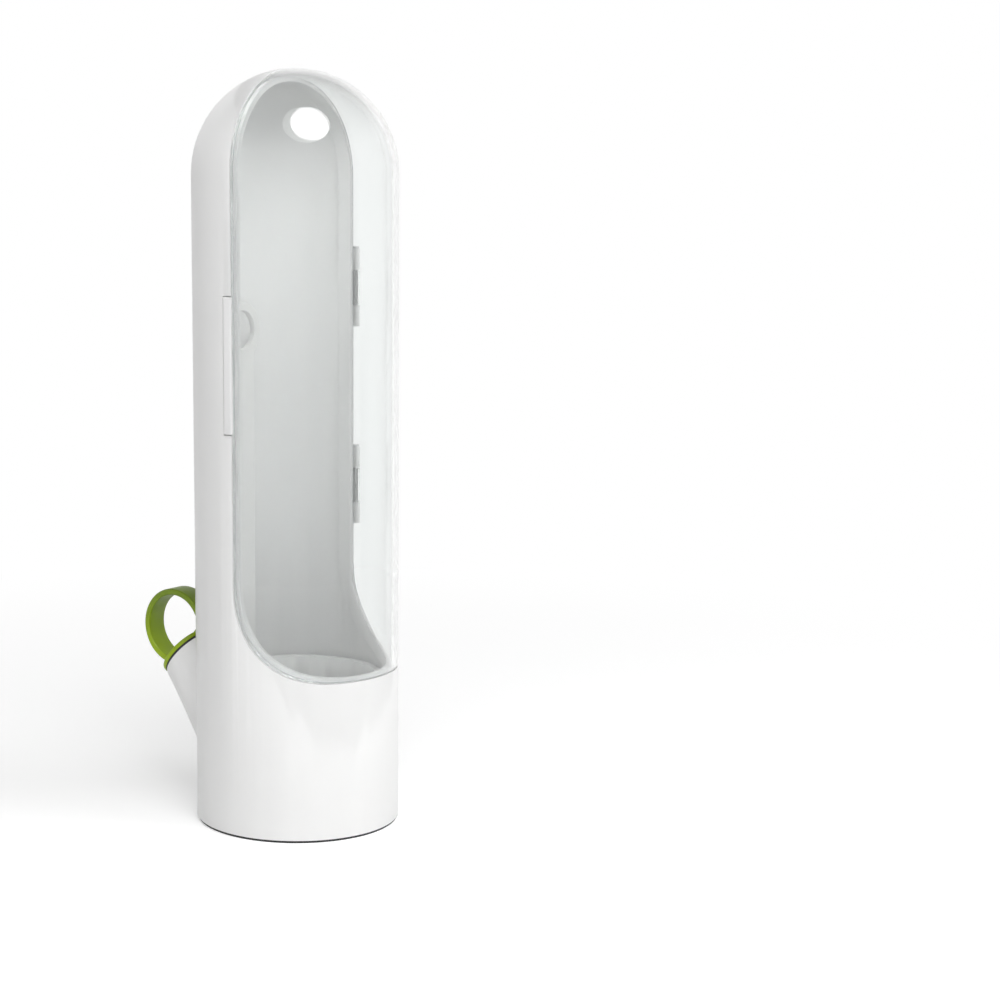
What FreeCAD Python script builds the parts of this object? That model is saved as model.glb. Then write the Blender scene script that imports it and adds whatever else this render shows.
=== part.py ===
import FreeCAD, Part

import math
import os

from FreeCAD import Vector

# Upright keeper pod. +Z is up, the origin is the centre of the underside, +X is the way the
# clear front door faces and -X is the back, where the filling spout stands out.
# All lengths are in millimetres.

# Overall size
body_radius = 37.0
total_height = 270.0
wall = 2.6

# Foot and floor
foot_height = 0.9
foot_outer_radius = 36.5
foot_inner_radius = 29.0
floor_thickness = 5.0
floor_side_gap = 0.08
groove_depth = 1.3
groove_height = 1.8
seal_side_gap = 0.03

# Split between the white back and the clear front
split_gap = 0.4
sill_height = 56.2
sill_arc_radius = 33.0
lip_thickness = 1.5
lip_gap = 0.4
lip_reach = 1.4
lip_root = 4.0
lip_low = 44.0
lip_overlap = 0.2

# Door grip and its notch in the near edge of the back
grip_low = 143.0
grip_high = 190.5
grip_width = 3.3
grip_proud = 0.35
grip_depth = 1.2
notch_gap = 0.3

# Door hinge on the far edge
hinge_axis_y = 39.3
knuckle_radius = 1.9
pin_radius = 1.1
pin_hole_radius = 1.15
door_hole_radius = 1.18
pin_head_radius = 1.6
pin_head_height = 0.7
hinge_low = 104.0
hinge_high = 178.0
knuckle_length = 8.0
door_knuckle_length = 13.0
knuckle_gap = 0.3
web_thickness = 1.6
pin_recess = 0.5

# Spout: a round mouth whose sections fan down until they lie flat inside the back wall
mouth_radius = 11.5
mouth_distance = 50.8
mouth_height = 53.5
mouth_tilt = 40.0
spout_foot_distance = 24.6
spout_foot_height = 7.5
spout_bend_distance = 34.0
spout_bend_height = 30.0
spout_sections = 7
channel_radius = 8.3
bore_radius = 9.3
spout_blend = 5.0
bore_depth = 13.0
seam_tolerance = 0.2

# Stopper
seal_collar_thickness = 0.8
seal_collar_radius = 11.2
seal_seat_gap = 0.1
sleeve_radius = 8.95
sleeve_rib_radius = 9.1
sleeve_rib_height = 1.2
sleeve_rib_pitch = 3.0
sleeve_rib_count = 3
first_rib_depth = 2.1
sleeve_length = 11.0
core_radius = 5.5
core_gap = 0.05
core_length = 10.5
flange_thickness = 1.7
flange_radius = 11.5
tongue_reach = 14.8
ring_outer_radius = 14.5
ring_thickness = 2.4
ring_width = 9.0
ring_distance = 56.0
ring_height = 64.1

# Basket
cup_radius = 30.5
cup_wall = 1.8
cup_floor_height = 14.0
cup_floor_thickness = 2.0
cup_rim_height = 53.0
cup_rim_reach = 1.2
cup_rim_depth = 2.4
cup_foot_count = 4
cup_foot_size = 6.0
cup_foot_distance = 25.0
cup_foot_gap = 0.1
floor_slot_count = 5
floor_slot_width = 3.6
floor_slot_pitch = 8.4
side_slot_count = 16
side_slot_width = 3.6
side_slot_low = 20.0
side_slot_high = 42.0
whole_wall_angle = 24.0

# Basket handle
stalk_width = 13.0
stalk_thickness = 2.4
stalk_distance = 27.2
handle_top = 188.0
handle_loop_radius = 10.5
handle_hole_radius = 7.0
handle_foot_height = 30.0
handle_wall_gap = 2.0

X_AXIS = Vector(1, 0, 0)
Y_AXIS = Vector(0, 1, 0)
Z_AXIS = Vector(0, 0, 1)

# Lengths used only while cutting: FAR is wider than the pod, OVERRUN carries a cut past a face
FAR = 200.0
OVERRUN = 1.0


def save(node, shape):
    """Write one sub-part, cleaned of needless seams, to its own file."""
    clean = shape.removeSplitter()
    clean.exportStep("parts/" + node + ".step")
    print(node, "solids", len(clean.Solids), "valid", clean.isValid(), "volume", round(clean.Volume))


def tube(outer, inner, low, high):
    """A straight ring about the body axis."""
    height = high - low
    return Part.makeCylinder(outer, height, Vector(0, 0, low)).cut(
        Part.makeCylinder(inner, height, Vector(0, 0, low)))


def capsule(inset, low):
    """The body's outer form moved inwards by inset: a round column with a half-ball top, from low up."""
    radius = body_radius - inset
    spring = total_height - body_radius
    column = Part.makeCylinder(radius, spring - low, Vector(0, 0, low))
    dome = Part.makeSphere(radius, Vector(0, 0, spring), Z_AXIS, 0.0, 90.0, 360.0)
    return column.fuse(dome).removeSplitter()


def front_region(offset):
    """Everything in front of the split: a prism along Y whose lower edge is the sill curve.

    A positive offset shrinks the region, so that the split line moves forwards and up.
    """
    arc_height = sill_height + sill_arc_radius
    radius = sill_arc_radius - offset
    start = Vector(offset, -FAR / 2, arc_height)
    middle_angle = math.radians(180.0 + 45.0)
    middle = Vector(sill_arc_radius + radius * math.cos(middle_angle), -FAR / 2,
                    arc_height + radius * math.sin(middle_angle))
    end = Vector(sill_arc_radius, -FAR / 2, sill_height + offset)
    front_low = Vector(FAR / 2, -FAR / 2, sill_height + offset)
    front_high = Vector(FAR / 2, -FAR / 2, total_height + FAR / 2)
    back_high = Vector(offset, -FAR / 2, total_height + FAR / 2)
    outline = Part.Wire([
        Part.Arc(start, middle, end).toShape(),
        Part.LineSegment(end, front_low).toShape(),
        Part.LineSegment(front_low, front_high).toShape(),
        Part.LineSegment(front_high, back_high).toShape(),
        Part.LineSegment(back_high, start).toShape(),
    ])
    return Part.Face(outline).extrude(Vector(0, FAR, 0))


def mouth_axis():
    """The way the stopper pulls out: backwards and up."""
    tilt = math.radians(mouth_tilt)
    return Vector(-math.cos(tilt), 0, math.sin(tilt))


def mouth_centre():
    return Vector(-mouth_distance, 0, mouth_height)


def spout_fan(radius):
    """Round sections lofted from the tilted mouth to a level one inside the back wall.

    Their centres follow a quadratic curve with one bend point, and their tilt falls evenly.
    """
    sections = []
    for index in range(spout_sections):
        step = index / (spout_sections - 1)
        near = (1 - step) ** 2
        bend = 2 * step * (1 - step)
        foot = step ** 2
        distance = near * mouth_distance + bend * spout_bend_distance + foot * spout_foot_distance
        height = near * mouth_height + bend * spout_bend_height + foot * spout_foot_height
        tilt = math.radians(mouth_tilt + (90.0 - mouth_tilt) * step)
        normal = Vector(-math.cos(tilt), 0, math.sin(tilt))
        circle = Part.Circle(Vector(-distance, 0, height), normal, radius)
        sections.append(Part.Wire(circle.toShape()))
    return Part.makeLoft(sections, True)


def hinge_levels():
    """Lower end of each of the two hinges."""
    return [hinge_low, hinge_high]


def body_knuckles():
    """Two bored ears at each hinge, joined to the back wall by a short web."""
    ears = []
    for level in hinge_levels():
        upper = level + knuckle_length + door_knuckle_length
        for low in (level, upper):
            centre = Vector(0, hinge_axis_y, low)
            ear = Part.makeCylinder(knuckle_radius, knuckle_length, centre)
            web = Part.makeBox(web_thickness, hinge_axis_y - body_radius + wall / 2, knuckle_length,
                               Vector(-split_gap / 2 - web_thickness, body_radius - wall / 2, low))
            hole = Part.makeCylinder(pin_hole_radius, knuckle_length, centre)
            ears.append(ear.fuse(web).cut(hole))
    return ears


def spouted_column():
    """Solid outer form of the back: the capsule with the spout blended into it."""
    outer = capsule(0.0, foot_height).fuse(spout_fan(mouth_radius)).removeSplitter()
    seam = [edge for edge in outer.Edges if is_spout_seam(edge)]
    return outer.makeFillet(spout_blend, seam)


def edge_lip():
    """Thin inner rim that follows the split and the sill and reaches forwards behind the door."""
    inner_face = capsule(wall + lip_gap + lip_thickness, 0.0)
    behind = front_region(-lip_root)
    lip = capsule(wall + lip_gap, lip_low).cut(inner_face).cut(front_region(lip_reach))
    root = capsule(wall - lip_overlap, lip_low).cut(inner_face).cut(front_region(0.0))
    return lip.fuse(root).common(behind)


def grip_notch():
    """Shallow room for the finger strip in the near edge of the back wall."""
    depth = grip_width + notch_gap
    height = grip_high - grip_low + 2 * notch_gap
    block = Part.makeBox(depth, 2 * body_radius, height,
                         Vector(-depth, -2 * body_radius, grip_low - notch_gap))
    return block.cut(capsule(grip_depth + notch_gap, 0.0))


def make_body_shell():
    """White base, back and rear half dome in one moulding, with spout, lip, notch and ears."""
    bore = Part.makeCylinder(bore_radius, bore_depth + OVERRUN,
                             mouth_centre() + mouth_axis() * OVERRUN, mouth_axis() * -1.0)
    shell = spouted_column()
    for tool in (capsule(wall, 0.0), spout_fan(channel_radius), bore, front_region(0.0)):
        shell = shell.cut(tool)
    shell = shell.fuse(edge_lip()).cut(grip_notch())
    for ear in body_knuckles():
        shell = shell.fuse(ear)
    return shell


def is_spout_seam(edge):
    """True on the two lines where the sides of the spout run into the round body."""
    middle = edge.valueAt((edge.FirstParameter + edge.LastParameter) / 2)
    on_wall = abs(math.hypot(middle.x, middle.y) - body_radius) < seam_tolerance
    beside_spout = abs(middle.y) > mouth_radius / 2 and foot_height < middle.z < mouth_height
    return on_wall and beside_spout and middle.x < 0


def make_base_cap():
    """Floor plug pressed up into the open base, with a groove for its seal."""
    radius = body_radius - wall - floor_side_gap
    plug = Part.makeCylinder(radius, floor_thickness, Vector(0, 0, foot_height))
    groove_low = foot_height + (floor_thickness - groove_height) / 2
    groove = tube(radius + OVERRUN, radius - groove_depth, groove_low, groove_low + groove_height)
    return plug.cut(groove)


def make_base_seal():
    """Ring seal that fills the floor plug's groove and meets the wall."""
    groove_low = foot_height + (floor_thickness - groove_height) / 2
    return tube(body_radius - wall - seal_side_gap, body_radius - wall - floor_side_gap - groove_depth,
                groove_low, groove_low + groove_height)


def make_foot_ring():
    """Soft ring under the base, seen as a thin dark line where the pod stands."""
    return tube(foot_outer_radius, foot_inner_radius, 0.0, foot_height)


def make_door_hood():
    """Clear front half of the column and dome, with a knuckle at each hinge."""
    hood = capsule(0.0, OVERRUN).cut(capsule(wall, 0.0)).common(front_region(split_gap))
    for level in hinge_levels():
        low = level + knuckle_length + knuckle_gap
        length = door_knuckle_length - 2 * knuckle_gap
        centre = Vector(0, hinge_axis_y, low)
        knuckle = Part.makeCylinder(knuckle_radius, length, centre)
        web = Part.makeBox(web_thickness, hinge_axis_y - body_radius + wall / 2, length,
                           Vector(split_gap, body_radius - wall / 2, low))
        hood = hood.fuse(knuckle.fuse(web)).cut(Part.makeCylinder(door_hole_radius, length, centre))
    return hood


def make_door_grip():
    """White finger strip glued to the door's free edge, filling the notch in the back."""
    block = Part.makeBox(grip_width + split_gap, 2 * body_radius, grip_high - grip_low,
                         Vector(-grip_width, -2 * body_radius, grip_low))
    skin = capsule(-grip_proud, 0.0).cut(capsule(grip_depth, 0.0))
    return skin.common(block)


def make_hinge_pin(level):
    """Plain steel pin with a small head, through two ears and the knuckle between them."""
    low = level + pin_recess
    length = 2 * knuckle_length + door_knuckle_length - pin_recess
    shank = Part.makeCylinder(pin_radius, length, Vector(0, hinge_axis_y, low))
    head = Part.makeCylinder(pin_head_radius, pin_head_height, Vector(0, hinge_axis_y, low + length))
    return shank.fuse(head)


def make_basket_cup():
    """Slotted cup that holds what is kept above the water, on four short feet."""
    cup = Part.makeCylinder(cup_radius, cup_rim_height - cup_floor_height, Vector(0, 0, cup_floor_height))
    cup = cup.fuse(tube(cup_radius + cup_rim_reach, cup_radius - cup_wall,
                        cup_rim_height - cup_rim_depth, cup_rim_height))
    cup = cup.cut(Part.makeCylinder(cup_radius - cup_wall, cup_rim_height,
                                    Vector(0, 0, cup_floor_height + cup_floor_thickness)))
    for index in range(floor_slot_count):
        y = (index - (floor_slot_count - 1) / 2) * floor_slot_pitch
        half = math.sqrt((cup_radius - 3 * cup_wall) ** 2 - (abs(y) + floor_slot_width / 2) ** 2)
        cup = cup.cut(Part.makeBox(2 * half, floor_slot_width, 3 * cup_floor_thickness,
                                   Vector(-half, y - floor_slot_width / 2,
                                          cup_floor_height - cup_floor_thickness)))
    for index in range(side_slot_count):
        angle = 360.0 * (index + 0.5) / side_slot_count
        slot = Part.makeBox(3 * cup_wall, side_slot_width, side_slot_high - side_slot_low,
                            Vector(cup_radius - 2 * cup_wall, -side_slot_width / 2, side_slot_low))
        slot.rotate(Vector(0, 0, 0), Z_AXIS, angle)
        if not behind_stalk(angle):
            cup = cup.cut(slot)
    return cup.fuse(cup_feet())


def behind_stalk(angle):
    """True where the handle's stalk lies against the cup wall, so the wall stays whole there."""
    return abs(angle - 180.0) < whole_wall_angle


def cup_feet():
    feet = []
    low = foot_height + floor_thickness + cup_foot_gap
    for index in range(cup_foot_count):
        foot = Part.makeBox(cup_foot_size, cup_wall, cup_floor_height - low,
                            Vector(cup_foot_distance - cup_foot_size / 2, -cup_wall / 2, low))
        foot.rotate(Vector(0, 0, 0), Z_AXIS, 360.0 * (index + 0.5) / cup_foot_count)
        feet.append(foot)
    return feet


def make_basket_handle():
    """Flat stalk up the back of the cup that ends in a finger loop."""
    low = handle_foot_height
    stalk = Part.makeBox(stalk_thickness, stalk_width, handle_top - handle_loop_radius - low,
                         Vector(-stalk_distance, -stalk_width / 2, low))
    centre = Vector(-stalk_distance, 0, handle_top - handle_loop_radius)
    loop = Part.makeCylinder(handle_loop_radius, stalk_thickness, centre, X_AXIS)
    hole = Part.makeCylinder(handle_hole_radius, 3 * stalk_thickness,
                             centre - X_AXIS * stalk_thickness, X_AXIS)
    return stalk.fuse(loop).cut(hole).common(capsule(wall + handle_wall_gap, 0.0))


def make_stopper_seal():
    """Dark soft sleeve of the plug, with a collar that shows as a line round the mouth."""
    out = mouth_axis()
    seat = mouth_centre() + out * seal_seat_gap
    collar = Part.makeCylinder(seal_collar_radius, seal_collar_thickness, seat, out)
    seal = collar.fuse(Part.makeCylinder(sleeve_radius, sleeve_length, seat, out * -1.0))
    for index in range(sleeve_rib_count):
        depth = first_rib_depth + sleeve_rib_pitch * index
        rib = Part.makeCylinder(sleeve_rib_radius, sleeve_rib_height, seat - out * depth, out * -1.0)
        seal = seal.fuse(rib)
    core = Part.makeCylinder(core_radius + core_gap, sleeve_length + 2 * OVERRUN,
                             seat + out * (seal_collar_thickness + OVERRUN), out * -1.0)
    return seal.cut(core)


def make_stopper_cap():
    """Green stopper: core, round flange with a tongue, and a broad pull ring in one soft moulding."""
    out = mouth_axis()
    under = mouth_centre() + out * (seal_seat_gap + seal_collar_thickness)
    flange = Part.makeCylinder(flange_radius, flange_thickness, under, out)
    core = Part.makeCylinder(core_radius, core_length, under, out * -1.0)
    tongue = Part.makeBox(tongue_reach, ring_width, flange_thickness, Vector(0, -ring_width / 2, 0))
    tongue.rotate(Vector(0, 0, 0), Y_AXIS, mouth_tilt - 90.0)
    tongue.translate(under)
    centre = Vector(-ring_distance, -ring_width / 2, ring_height)
    ring = Part.makeCylinder(ring_outer_radius, ring_width, centre, Y_AXIS)
    ring = ring.cut(Part.makeCylinder(ring_outer_radius - ring_thickness, ring_width, centre, Y_AXIS))
    above = Part.makeCylinder(FAR / 2, FAR / 2, under, out)
    return flange.fuse(tongue).fuse(core).fuse(ring.common(above))


def main():
    os.makedirs("parts", exist_ok=True)
    save("body_shell", make_body_shell())
    save("base_cap", make_base_cap())
    save("base_seal", make_base_seal())
    save("foot_ring", make_foot_ring())
    save("door_hood", make_door_hood())
    save("door_grip", make_door_grip())
    save("hinge_pin_lower", make_hinge_pin(hinge_low))
    save("hinge_pin_upper", make_hinge_pin(hinge_high))
    save("basket_cup", make_basket_cup())
    save("basket_handle", make_basket_handle())
    save("stopper_seal", make_stopper_seal())
    save("stopper_cap", make_stopper_cap())


main()
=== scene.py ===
from math import radians

import bmesh
import bpy
import numpy as np
from mathutils import Matrix, Vector


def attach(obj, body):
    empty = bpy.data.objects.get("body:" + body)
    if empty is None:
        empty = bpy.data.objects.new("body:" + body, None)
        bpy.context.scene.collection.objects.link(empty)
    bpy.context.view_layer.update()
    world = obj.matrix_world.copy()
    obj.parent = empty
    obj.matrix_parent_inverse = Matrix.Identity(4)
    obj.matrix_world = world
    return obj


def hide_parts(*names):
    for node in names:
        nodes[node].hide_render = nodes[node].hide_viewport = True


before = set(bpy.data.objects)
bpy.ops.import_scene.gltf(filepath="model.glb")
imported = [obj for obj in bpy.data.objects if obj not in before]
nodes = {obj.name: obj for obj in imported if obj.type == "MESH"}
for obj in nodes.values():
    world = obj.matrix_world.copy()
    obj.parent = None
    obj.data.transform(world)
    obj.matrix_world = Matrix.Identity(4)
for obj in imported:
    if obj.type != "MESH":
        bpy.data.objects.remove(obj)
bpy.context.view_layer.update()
scene = bpy.context.scene
scene.view_settings.view_transform = "Standard"
mm = 0.001
render_levels = 2
meeting_distance = 1e-7
weld_distance = 1e-6
shortest_edge = 1e-8
cad_sharp_angle = radians(40.0)
own_sharp_angle = radians(50.0)


# Camera and studio.
# The photograph was taken from about 0.68 m away and a little above, over the door's free edge.
# The pod stands on a white sweep, lit by one big round softbox high in front and a paler one
# at the right, with a pale panel in front.
camera_distance = 0.68
camera_height = 0.205
camera_down = radians(6.78)
camera_turn = radians(37.2)
camera_roll = radians(-0.25)
sensor_width = 36.0
lens_length = 68.16
camera_data = bpy.data.cameras.new("photo_camera")
camera_data.sensor_width = sensor_width
camera_data.lens = lens_length
camera_data.shift_x = 0.2035
camera_data.shift_y = -0.021
camera = bpy.data.objects.new("photo_camera", camera_data)
aim = (Matrix.Rotation(camera_turn, 4, "Z") @ Matrix.Rotation(radians(90.0) - camera_down, 4, "X")
       @ Matrix.Rotation(camera_roll, 4, "Z"))
camera_place = Vector((camera_distance * np.sin(camera_turn), -camera_distance * np.cos(camera_turn),
                       camera_height))
camera.matrix_world = Matrix.Translation(camera_place) @ aim
scene.collection.objects.link(camera)
scene.camera = camera

to_right = Vector((np.cos(camera_turn), np.sin(camera_turn), 0.0))
to_camera = Vector((np.sin(camera_turn), -np.cos(camera_turn), 0.0))
upwards = Vector((0.0, 0.0, 1.0))
lamp_target = Vector((0.0, 0.0, 0.14))
round_distance = 1.0
round_direction = to_camera * 0.53 + upwards * 0.85 + to_right * 0.16
round_sizes_and_powers = ((0.75, 2.5), (0.6, 3.1), (0.42, 2.9))
gleam_direction = to_camera * 0.53 + upwards * 0.85 + to_right * 0.24
gleam_sizes_and_powers = ((0.62, 5.0), (0.54, 8.0), (0.46, 12.0))
side_direction = to_right * 0.8 + to_camera * 0.3 + upwards * 0.5
side_distance = 1.4
side_size = 0.8
side_power = 7.5
front_direction = to_camera - to_right * 0.22 + upwards * 0.15
front_distance = 1.3
front_width = 1.3
front_height = 1.6
front_power = 8.0


def add_lamp(name, direction, distance, width, height, power, shape):
    """A soft lamp that faces the pod from the given direction."""
    data = bpy.data.lights.new(name, "AREA")
    data.shape = shape
    data.size = width
    if shape == "RECTANGLE":
        data.size_y = height
    data.energy = power
    lamp = bpy.data.objects.new(name, data)
    lamp.location = lamp_target + direction.normalized() * distance
    lamp.rotation_euler = direction.to_track_quat("Z", "Y").to_euler()
    scene.collection.objects.link(lamp)
    return lamp


for size, power in round_sizes_and_powers:
    halo = add_lamp("round_softbox", round_direction, round_distance, size, size, power, "DISK")
    halo.visible_glossy = False
for size, power in gleam_sizes_and_powers:
    gleam = add_lamp("round_gleam", gleam_direction, round_distance, size, size, power, "DISK")
    gleam.visible_diffuse = False
side_lamp = add_lamp("right_softbox", side_direction, side_distance, side_size, side_size, side_power,
                     "DISK")
front_lamp = add_lamp("front_panel", front_direction, front_distance, front_width, front_height,
                      front_power, "RECTANGLE")
for lamp in (side_lamp, front_lamp):
    lamp.visible_glossy = False
    lamp.visible_transmission = False


class Value:
    """A shader socket that can be written into arithmetic like a number."""

    def __init__(self, paint, socket):
        self.paint = paint
        self.socket = socket

    def __add__(self, other):
        return self.paint.math("ADD", self, other)

    def __sub__(self, other):
        return self.paint.math("SUBTRACT", self, other)

    def __rsub__(self, other):
        return self.paint.math("SUBTRACT", other, self)

    def __mul__(self, other):
        return self.paint.math("MULTIPLY", self, other)

    __radd__ = __add__
    __rmul__ = __mul__


class Paint:
    """One material with its Principled shader, and short ways to add nodes to it."""

    def __init__(self, name, **constants):
        self.material = bpy.data.materials.new(name)
        self.material.use_nodes = True
        self.tree = self.material.node_tree
        self.shader = self.tree.nodes["Principled BSDF"]
        for label, value in constants.items():
            self.shader.inputs[label.replace("_", " ")].default_value = value

    def link(self, value, socket):
        """Joins a node's value to a socket, or sets the socket to a plain number or colour."""
        if isinstance(value, Value):
            self.tree.links.new(value.socket, socket)
        else:
            socket.default_value = value

    def node(self, kind, inputs=None, output=0, **settings):
        """Any node: settings are its options, inputs its sockets by name or number."""
        made = self.tree.nodes.new(kind)
        for label, value in settings.items():
            setattr(made, label, value)
        for label, value in (inputs or {}).items():
            self.link(value, made.inputs[label])
        return Value(self, made.outputs[output])

    def math(self, operation, first, second=0.0):
        """One step of arithmetic on two values."""
        return self.node("ShaderNodeMath", {0: first, 1: second}, operation=operation)

    def mix(self, factor, first, second):
        """Colour between first and second."""
        return self.node("ShaderNodeMix", {0: factor, 6: first, 7: second}, 2, data_type="RGBA")

    def place(self):
        """The point's place in its own object, in metres."""
        return self.node("ShaderNodeTexCoord", output=3)

    def noise(self, scale, detail=2.0):
        """Soft noise between 0 and 1 at so many features per metre."""
        return self.node("ShaderNodeTexNoise", {"Vector": self.place(), "Scale": scale,
                                                "Detail": detail})

    def feed(self, label, value):
        """Puts a value into one input of the Principled shader."""
        self.link(value, self.shader.inputs[label])

    def bump(self, height, strength, distance):
        """Surface relief from a height between 0 and 1, so many metres deep."""
        self.feed("Normal", self.node("ShaderNodeBump", {"Height": height, "Strength": strength,
                                                         "Distance": distance}))

    def speckle(self, dark, light, grain, roughness=None, spread=0.0, rough_grain=0.0):
        """Colour that drifts softly between two tones, and a roughness that varies more finely."""
        self.feed("Base Color", self.mix(self.noise(grain), (*dark, 1.0), (*light, 1.0)))
        if roughness is not None:
            self.feed("Roughness", roughness + self.noise(rough_grain) * spread)

    def cover(self, *names, rounding=0.0):
        """Puts this material on CAD nodes, in place of their own, and softens their edges."""
        for name in names:
            for slot in nodes[name].material_slots:
                slot.material = self.material
            if rounding > 0.0:
                weld = nodes[name].modifiers.new("weld", "WELD")
                weld.merge_threshold = weld_distance
                soften = nodes[name].modifiers.new("edges", "BEVEL")
                soften.width = rounding
                soften.segments = render_levels
                soften.limit_method = "ANGLE"
                soften.angle_limit = cad_sharp_angle
                soften.harden_normals = True


sweep_size = 8.0
sweep_near = 0.12
sweep_far = 0.55
sweep_glow = 0.38
sweep_white = (0.82, 0.82, 0.82, 1.0)
black = (0.0, 0.0, 0.0, 1.0)
white = (1.0, 1.0, 1.0, 1.0)
sweep_paint = Paint("sweep", Roughness=0.9, Emission_Strength=1.0, Specular_IOR_Level=0.0)
seen = sweep_paint.node("ShaderNodeLightPath", output="Is Camera Ray")
for ray in ("Is Glossy Ray", "Is Transmission Ray"):
    seen = sweep_paint.math("MAXIMUM", seen, sweep_paint.node("ShaderNodeLightPath", output=ray))
away = sweep_paint.node("ShaderNodeVectorMath", {0: sweep_paint.place()}, 1, operation="LENGTH")
fade = sweep_paint.node("ShaderNodeMapRange",
                        {"Value": away, "From Min": sweep_near, "From Max": sweep_far},
                        interpolation_type="SMOOTHSTEP")
glow = seen * (sweep_glow + fade * (1.0 - sweep_glow))
sweep_paint.feed("Emission Color", sweep_paint.mix(glow, black, white))
sweep_paint.feed("Base Color", sweep_paint.mix(seen * fade, sweep_white, black))
sweep_mesh = bpy.data.meshes.new("sweep")
half = sweep_size / 2
sweep_corners = [(-half, -half, 0), (half, -half, 0), (half, half, 0), (-half, half, 0)]
sweep_mesh.from_pydata(sweep_corners, [], [(0, 1, 2, 3)])
sweep_mesh.materials.append(sweep_paint.material)
sweep = bpy.data.objects.new("sweep", sweep_mesh)
scene.collection.objects.link(sweep)

room_fill = 0.23
ceiling_low = 0.3
ceiling_high = 0.85
ceiling_grey = 0.45
world = bpy.data.worlds.new("studio")
scene.world = world
world.use_nodes = True
world_tree = world.node_tree
background = world_tree.nodes["Background"]
background.inputs["Color"].default_value = white
path = world_tree.nodes.new("ShaderNodeLightPath")
seen_directly = path.outputs["Is Camera Ray"]
for label in ("Is Glossy Ray", "Is Transmission Ray"):
    either = world_tree.nodes.new("ShaderNodeMath")
    either.operation = "MAXIMUM"
    world_tree.links.new(seen_directly, either.inputs[0])
    world_tree.links.new(path.outputs[label], either.inputs[1])
    seen_directly = either.outputs[0]
strength = world_tree.nodes.new("ShaderNodeMapRange")
world_tree.links.new(seen_directly, strength.inputs["Value"])
strength.inputs["To Min"].default_value = room_fill
heading = world_tree.nodes.new("ShaderNodeTexCoord")
parts = world_tree.nodes.new("ShaderNodeSeparateXYZ")
world_tree.links.new(heading.outputs["Generated"], parts.inputs[0])
ceiling = world_tree.nodes.new("ShaderNodeMapRange")
ceiling.interpolation_type = "SMOOTHSTEP"
ceiling.inputs["From Min"].default_value = ceiling_low
ceiling.inputs["From Max"].default_value = ceiling_high
ceiling.inputs["To Min"].default_value = 1.0
ceiling.inputs["To Max"].default_value = ceiling_grey
world_tree.links.new(parts.outputs["Z"], ceiling.inputs["Value"])
world_tree.links.new(ceiling.outputs[0], strength.inputs["To Max"])
world_tree.links.new(strength.outputs[0], background.inputs["Strength"])


# White body: base, back, rear half dome and spout.
# One injection moulding in satin white plastic with a very fine grain, and rounded edges.
shell_round = 0.3 * mm
white_paint = Paint("white_shell", IOR=1.49)
white_paint.speckle((0.88, 0.88, 0.875), (0.91, 0.91, 0.905), 18.0, 0.27, 0.08, 60.0)
white_paint.bump(white_paint.noise(900.0), 0.08, 0.2 * mm)
white_paint.cover("body_shell", rounding=shell_round)


# Door grip: the strip at the door's free edge that a fingertip catches.
# A glossier and whiter plastic than the body, moulded on to the door's edge.
grip_round = 0.3 * mm
grip_paint = Paint("grip_white", Roughness=0.2, IOR=1.49)
grip_paint.speckle((0.9, 0.9, 0.9), (0.93, 0.93, 0.93), 90.0)
grip_paint.cover("door_grip", rounding=grip_round)


# Floor plug: a disc that closes the open underside of the body.
# Matte white plastic, pressed in against a ring seal in its groove.
floor_paint = Paint("floor_white", IOR=1.49)
floor_paint.speckle((0.78, 0.78, 0.77), (0.84, 0.84, 0.83), 40.0, 0.45, 0.1, 150.0)
floor_paint.cover("base_cap")


# Foot ring, floor seal and plug sleeve: the dark soft parts.
# Matte rubber; the foot ring is glued under the base, and the other two are stretched on.
rubber_paint = Paint("dark_rubber")
rubber_paint.speckle((0.02, 0.02, 0.022), (0.035, 0.035, 0.036), 300.0, 0.6, 0.15, 500.0)
rubber_paint.cover("foot_ring", "base_seal", "stopper_seal")


# Hinge pins: two short headed pins on the far side.
# Drawn steel wire, pushed down through the body's ears and the door's knuckles.
steel_paint = Paint("pin_steel", Metallic=1.0)
steel_paint.speckle((0.5, 0.5, 0.51), (0.62, 0.62, 0.63), 400.0, 0.25, 0.12, 700.0)
steel_paint.cover("hinge_pin_lower", "hinge_pin_upper")


# Basket: a slotted cup on four feet, with a flat stalk and a finger loop.
# Matte white plastic in two mouldings, the stalk fixed to the cup's wall.
basket_round = 0.3 * mm
basket_paint = Paint("basket_white", IOR=1.49)
basket_paint.speckle((0.8, 0.8, 0.79), (0.86, 0.86, 0.85), 50.0, 0.38, 0.1, 200.0)
basket_paint.cover("basket_cup", "basket_handle", rounding=basket_round)


# Clear door: the front half of the column and dome, moulded in clear plastic.
# Its wall is as thick as the white back's; its rounded edges carry a painted highlight: paler, half-clear
# faces.
# It turns on the far side's pins and closes against the split and the sill.
radius = 37.0 * mm
wall = 2.6 * mm
top = 270.0 * mm
spring = top - radius
split_gap = 0.4 * mm
sill_height = 56.2 * mm
sill_radius = 33.0 * mm
hood_round = 0.25 * mm
hood_columns = 241
hood_rows = 150
dome_rows = 72


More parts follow.
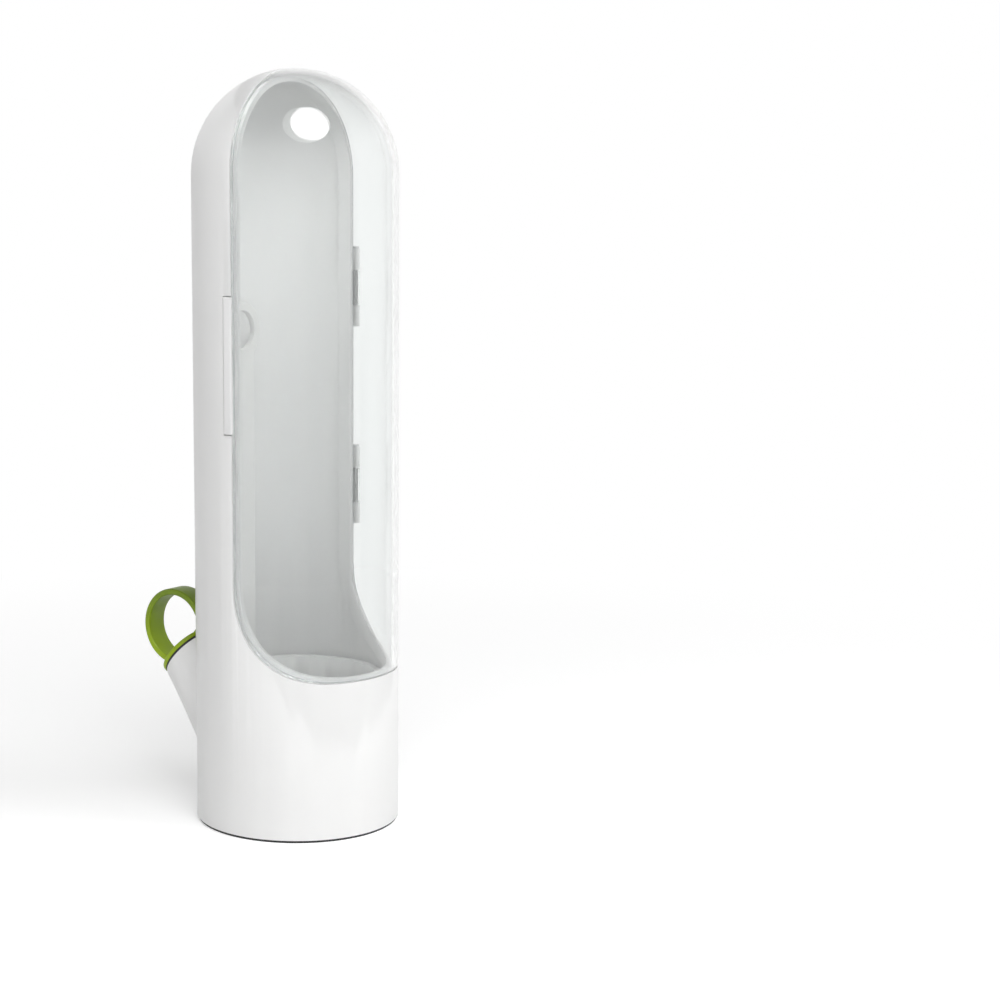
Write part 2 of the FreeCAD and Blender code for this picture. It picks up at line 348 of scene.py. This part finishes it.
def hood_sheet(inset):
    """Half capsule: x = gap + (r cos a) (R - gap) / R, y = r sin a, z from the sill up to the dome's pole.

    The sill's height follows a circle arc near the split and is level in front of it.
    """
    own = radius - inset
    angle = np.linspace(-np.pi / 2, np.pi / 2, hood_columns)[:, None]
    front = split_gap + own * np.cos(angle) * (radius - split_gap) / radius
    arc = sill_radius - split_gap
    reach = np.clip(sill_radius - front, 0.0, arc)
    low = sill_height + sill_radius - np.sqrt(arc ** 2 - reach ** 2)
    rise = np.linspace(0.0, 1.0, hood_rows)[None, :]
    turn = np.linspace(0.0, np.pi / 2, dome_rows)[None, 1:]
    column_z = low + (spring - low) * rise
    column_r = np.ones_like(rise)
    dome_z = spring + own * np.sin(turn) + 0.0 * angle
    z = np.hstack([column_z, dome_z])
    r = own * np.hstack([column_r, np.cos(turn)])
    x = split_gap + r * np.cos(angle) * (radius - split_gap) / radius
    y = r * np.sin(angle)
    return np.stack([x, y, z], axis=-1)


def quads(first, second, third, fourth):
    """Four-cornered faces from four equal arrays of point numbers."""
    return np.stack([first.ravel(), second.ravel(), third.ravel(), fourth.ravel()], axis=1)


def make_object(name, points, faces, paint, bevel=0.0, edge_paint=None, edge_faces=None):
    """A smooth mesh object from points and quads, with points that lie together made one.

    Faces marked in edge_faces take edge_paint instead of paint.
    """
    mesh = bpy.data.meshes.new(name)
    mesh.from_pydata(points.reshape(-1, 3).tolist(), [], faces.tolist())
    mesh.materials.append(paint.material)
    if edge_paint:
        mesh.materials.append(edge_paint.material)
        mesh.polygons.foreach_set("material_index", edge_faces.astype(np.int32))
    working = bmesh.new()
    working.from_mesh(mesh)
    bmesh.ops.remove_doubles(working, verts=working.verts, dist=meeting_distance)
    bmesh.ops.dissolve_degenerate(working, edges=working.edges, dist=shortest_edge)
    bmesh.ops.recalc_face_normals(working, faces=working.faces)
    working.to_mesh(mesh)
    working.free()
    mesh.polygons.foreach_set("use_smooth", np.ones(len(mesh.polygons), bool))
    piece = bpy.data.objects.new(name, mesh)
    scene.collection.objects.link(piece)
    if bevel > 0.0:
        rounding = piece.modifiers.new("edges", "BEVEL")
        rounding.width = bevel
        rounding.segments = render_levels
        rounding.limit_method = "ANGLE"
        rounding.angle_limit = own_sharp_angle
    return piece


def walled(outer, inner):
    """A closed wall between two sheets of the same size: its points, its quads, and which are rim."""
    rows, columns = outer.shape[:2]
    index = np.arange(2 * rows * columns).reshape(2, rows, columns)
    out, inn = index
    faces = [
        quads(out[:-1, :-1], out[1:, :-1], out[1:, 1:], out[:-1, 1:]),
        quads(inn[:-1, :-1], inn[:-1, 1:], inn[1:, 1:], inn[1:, :-1]),
    ]
    sides = len(faces[0]) + len(faces[1])
    borders = ((out[:, 0], inn[:, 0]), (inn[:, -1], out[:, -1]), (inn[0], out[0]), (out[-1], inn[-1]))
    for near, far in borders:
        faces.append(quads(near[:-1], far[:-1], far[1:], near[1:]))
    faces = np.vstack(faces)
    return np.stack([outer, inner]), faces, np.arange(len(faces)) >= sides


clear_paint = Paint("clear_door", Roughness=0.0, IOR=1.49, Transmission_Weight=1.0,
                    Coat_Weight=1.0, Coat_Roughness=0.05)
clear_paint.speckle((0.96, 0.98, 0.975), (0.98, 0.99, 0.985), 12.0)
# Painted highlight: the rim faces are paler and only half clear, standing in for the light that the clear
# edges catch.
rim_highlight_paint = Paint("clear_rim_painted_highlight", IOR=1.49, Transmission_Weight=0.55)
rim_highlight_paint.speckle((0.78, 0.81, 0.81), (0.86, 0.88, 0.88), 200.0, 0.3, 0.15, 500.0)
hood_points, hood_faces, hood_rim = walled(hood_sheet(0.0), hood_sheet(wall))
hood = make_object("clear_hood", hood_points, hood_faces, clear_paint, hood_round, rim_highlight_paint, hood_rim)
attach(hood, "door")
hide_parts("door_hood")


# Green stopper: a round flange with a plug core under it and a broad pull ring above it.
# One soft rubber moulding in lime green with rounded edges, pressed into the spout's mouth.
mouth_tilt = radians(40.0)
# Painted shade: the green is painted darker from a lower height up to a higher one, standing in for shade
# over the ring's top.
painted_shade_start = 54.0 * mm
painted_shade_full = 76.0 * mm
painted_shade_green = (0.17, 0.26, 0.006, 1.0)
mouth_out = np.array([-np.cos(mouth_tilt), 0.0, np.sin(mouth_tilt)])
mouth_up = np.array([np.sin(mouth_tilt), 0.0, np.cos(mouth_tilt)])
mouth_side = np.array([0.0, 1.0, 0.0])
mouth_centre = np.array([-50.8, 0.0, 53.5]) * mm
flange_base = 0.9 * mm
flange_radius = 11.5 * mm
flange_thickness = 1.7 * mm
flange_round = 0.55 * mm
core_radius = 5.5 * mm
core_depth = 10.5 * mm
tongue_start = 4.0 * mm
tongue_reach = 14.8 * mm
tongue_steps = 24
ring_centre = np.array([-56.0, 0.0, 64.1]) * mm
ring_radius = 14.5 * mm
ring_thickness = 2.4 * mm
ring_width = 9.0 * mm
ring_round = 0.7 * mm
ring_steps = 161
turn_steps = 129
corner_steps = 6


def rounded(corners, rounding, steps=corner_steps):
    """Closed outline in two dimensions whose corners are circle arcs of the given radii."""
    corners = np.asarray(corners, float)
    before = np.roll(corners, 1, axis=0) - corners
    after = np.roll(corners, -1, axis=0) - corners
    before /= np.linalg.norm(before, axis=1)[:, None]
    after /= np.linalg.norm(after, axis=1)[:, None]
    half_angle = np.arccos(np.clip(np.sum(before * after, axis=1), -1.0, 1.0)) / 2
    radii = np.broadcast_to(np.asarray(rounding, float), half_angle.shape)
    reach = (radii / np.tan(half_angle))[:, None]
    middle = before + after
    middle /= np.linalg.norm(middle, axis=1)[:, None]
    centre = corners + middle * (radii / np.sin(half_angle))[:, None]
    start = corners + before * reach - centre
    end = corners + after * reach - centre
    share = np.linspace(0.0, 1.0, steps)[None, :, None]
    sweep_angle = (np.pi - 2 * half_angle)[:, None, None]
    bow = np.sin((1 - share) * sweep_angle) * start[:, None] + np.sin(share * sweep_angle) * end[:, None]
    return (centre[:, None] + bow / np.sin(sweep_angle)).reshape(-1, 2)


def band(centres, across, outwards, outline):
    """An outline carried along a path: centre + across * first + outwards * second, as a grid."""
    return (centres[:, None] + across[:, None] * outline[None, :, :1]
            + outwards[:, None] * outline[None, :, 1:])


def tube_faces(rows, columns, around):
    """Quads between rows of a closed outline; the rows close into a loop too when around is true."""
    index = np.arange(rows * columns).reshape(rows, columns)
    first = index if around else index[:-1]
    following = np.roll(index, -1, axis=0) if around else index[1:]
    return quads(first, following, np.roll(following, -1, axis=1), np.roll(first, -1, axis=1))


def turned(centre, axis, right, outline, steps=turn_steps):
    """Outline of (radius, height) pairs turned about an axis through centre, as a grid of points."""
    angle = np.linspace(0.0, 2 * np.pi, steps, endpoint=False)[:, None]
    spokes = np.cos(angle) * right + np.sin(angle) * np.cross(axis, right)
    return (np.asarray(centre) + spokes[:, None] * outline[None, :, :1] + axis * outline[None, :, 1:])


green_paint = Paint("stopper_green", IOR=1.45)
# Painted shade: the base colour runs from lime at the bottom to a deep green higher up.
green_height = green_paint.node("ShaderNodeSeparateXYZ", {"Vector": green_paint.place()}, output=2)
painted_shade_mask = green_paint.node("ShaderNodeMapRange", {"Value": green_height, "From Min": painted_shade_start,
                                                          "From Max": painted_shade_full})
green_lime = green_paint.mix(green_paint.noise(70.0), (0.31, 0.44, 0.004, 1.0), (0.35, 0.49, 0.007, 1.0))
green_paint.feed("Base Color", green_paint.mix(painted_shade_mask, green_lime, painted_shade_green))
green_paint.feed("Roughness", 0.36 + green_paint.noise(300.0) * 0.12)
green_paint.bump(green_paint.noise(1400.0), 0.1, 0.1 * mm)

reach = ring_radius - ring_thickness / 2
lift = (ring_centre - mouth_centre) @ mouth_out - flange_base
arc_end = np.arccos(-(lift - 0.5 * flange_thickness) / reach)
angle = np.linspace(-arc_end, arc_end, ring_steps)[:, None]
ring_out = np.cos(angle) * mouth_out + np.sin(angle) * mouth_up
ring_line = ring_centre + reach * ring_out
ring_outline = rounded([(-ring_width / 2, -ring_thickness / 2), (ring_width / 2, -ring_thickness / 2),
                        (ring_width / 2, ring_thickness / 2), (-ring_width / 2, ring_thickness / 2)],
                       ring_round)
ring_grid = band(ring_line, np.broadcast_to(mouth_side, ring_line.shape), ring_out, ring_outline)
ring_ends = (ring_grid[:1] * 0 + ring_line[0], ring_grid[:1] * 0 + ring_line[-1])
ring_grid = np.concatenate([ring_ends[0], ring_grid, ring_ends[1]])
ring = make_object("pull_ring", ring_grid, tube_faces(*ring_grid.shape[:2], False), green_paint)
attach(ring, "stopper")
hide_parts("stopper_cap")

tongue_line = (mouth_centre + mouth_out * (flange_base + flange_thickness / 2)
               + np.linspace(tongue_start, tongue_reach, tongue_steps)[:, None] * mouth_up)
tongue_outline = rounded([(-ring_width / 2, -flange_thickness / 2), (ring_width / 2, -flange_thickness / 2),
                          (ring_width / 2, flange_thickness / 2), (-ring_width / 2, flange_thickness / 2)],
                         flange_round)
tongue_grid = band(tongue_line, np.broadcast_to(mouth_side, tongue_line.shape),
                   np.broadcast_to(mouth_out, tongue_line.shape), tongue_outline)
tongue_grid = np.concatenate([tongue_grid[:1] * 0 + tongue_line[0], tongue_grid,
                              tongue_grid[:1] * 0 + tongue_line[-1]])
tongue = make_object("stopper_tongue", tongue_grid, tube_faces(*tongue_grid.shape[:2], False),
                     green_paint)
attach(tongue, "stopper")

nothing = 1e-6
flange_outline = rounded([(nothing, 0.0), (flange_radius, 0.0), (flange_radius, flange_thickness),
                          (nothing, flange_thickness)],
                         [nothing / 4, flange_round / 2, flange_round, nothing / 4])
flange_grid = turned(mouth_centre + mouth_out * flange_base, mouth_out, mouth_side, flange_outline)
flange = make_object("stopper_flange", flange_grid, tube_faces(*flange_grid.shape[:2], True),
                     green_paint)
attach(flange, "stopper")

core_outline = rounded([(nothing, -core_depth), (core_radius, -core_depth),
                        (core_radius, flange_thickness / 2), (nothing, flange_thickness / 2)],
                       [nothing / 4, flange_round, flange_round, nothing / 4])
core_grid = turned(mouth_centre + mouth_out * flange_base, mouth_out, mouth_side, core_outline)
core = make_object("stopper_core", core_grid, tube_faces(*core_grid.shape[:2], True), green_paint)
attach(core, "stopper")


# Door knuckles: a clear bored barrel and a short web at each hinge, part of the door's moulding.
# A plain steel pin runs through each, between two ears of the white back.
hinge_line = np.array([0.0, 39.3, 0.0]) * mm
knuckle_radius = 1.9 * mm
knuckle_bore = 1.18 * mm
knuckle_round = 0.2 * mm
knuckle_height = 12.4 * mm
knuckle_levels = {"lower": 112.3 * mm, "upper": 186.3 * mm}
web_thickness = 1.6 * mm
web_steps = 12
barrel_steps = 65
up = np.array([0.0, 0.0, 1.0])
forwards = np.array([1.0, 0.0, 0.0])
barrel = rounded([(knuckle_bore, 0.0), (knuckle_radius, 0.0), (knuckle_radius, knuckle_height),
                  (knuckle_bore, knuckle_height)], knuckle_round)
for level_name, level in knuckle_levels.items():
    barrel_grid = turned(hinge_line + up * level, up, forwards, barrel, barrel_steps)
    knuckle = make_object("door_knuckle_" + level_name, barrel_grid,
                          tube_faces(*barrel_grid.shape[:2], True), clear_paint)
    web_y = np.linspace(radius - wall / 2, hinge_line[1] - knuckle_bore, web_steps)[:, None]
    web_z = np.linspace(level, level + knuckle_height, web_steps)[None, :]
    web_x = split_gap + 0.0 * (web_y + web_z)
    web_face = np.stack([web_x, web_y + 0.0 * web_z, web_z + 0.0 * web_y], axis=-1)
    web_points, web_faces, web_rim = walled(web_face, web_face + forwards * web_thickness)
    web = make_object("door_web_" + level_name, web_points, web_faces, clear_paint,
                      edge_paint=rim_highlight_paint, edge_faces=web_rim)
    for piece in (knuckle, web):
        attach(piece, "door")
